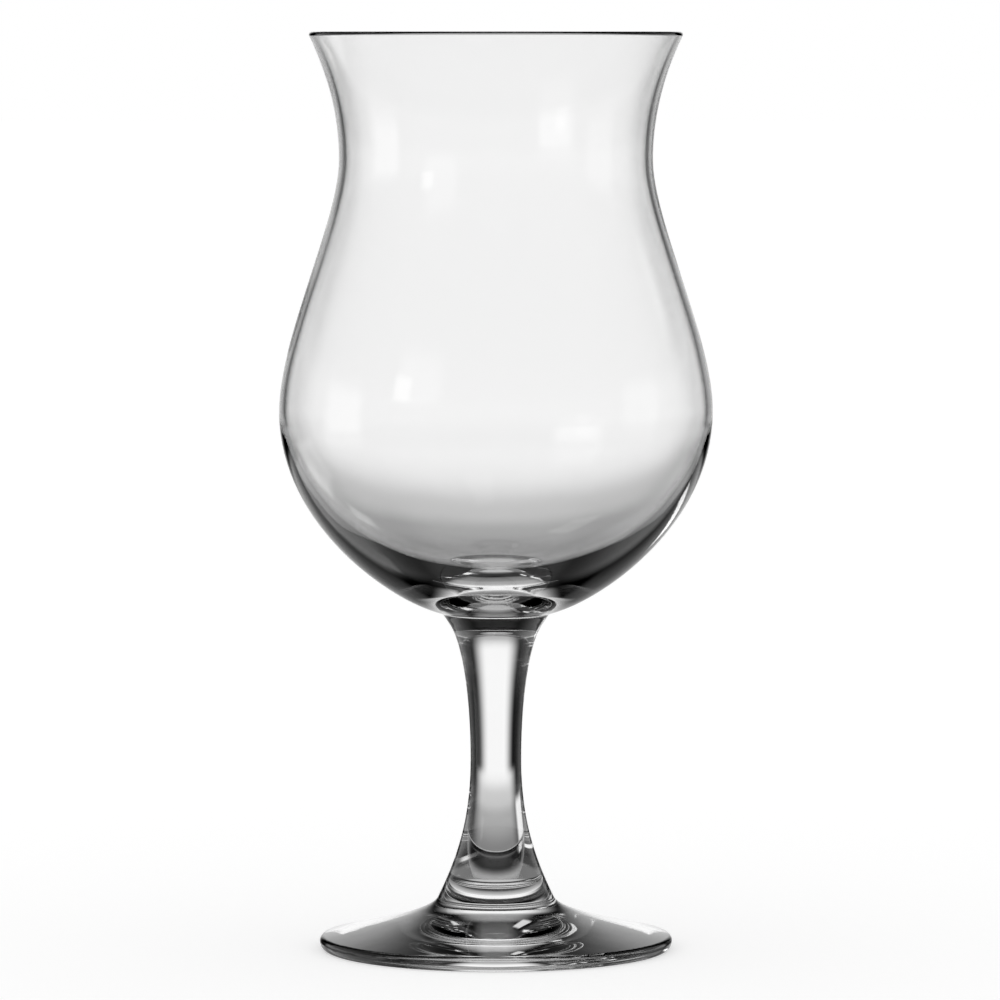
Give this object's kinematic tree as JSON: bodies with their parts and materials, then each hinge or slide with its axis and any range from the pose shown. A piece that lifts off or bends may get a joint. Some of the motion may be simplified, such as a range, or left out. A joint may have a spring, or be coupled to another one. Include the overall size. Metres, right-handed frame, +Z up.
{
  "type": "stemmed cocktail glass",
  "caption": "Clear stemmed cocktail glass with a flared lip, a waist, a round belly on a thick base, a short stem that flares at both ends, and a low conical foot.",
  "frame": {"origin": "centre of the flat ring that the foot stands on, at table level", "axes": "+Z up along the glass's axis of rotation, from the foot to the lip; X and Y are free, because the glass is round"},
  "size_m": [0.085, 0.085, 0.18],
  "materials": {
    "clear_glass": "clear and polished"
  },
  "bodies": {
    "root": {"bowl": "clear_glass", "stem": "clear_glass", "foot": "clear_glass"}
  },
  "joints": []
}
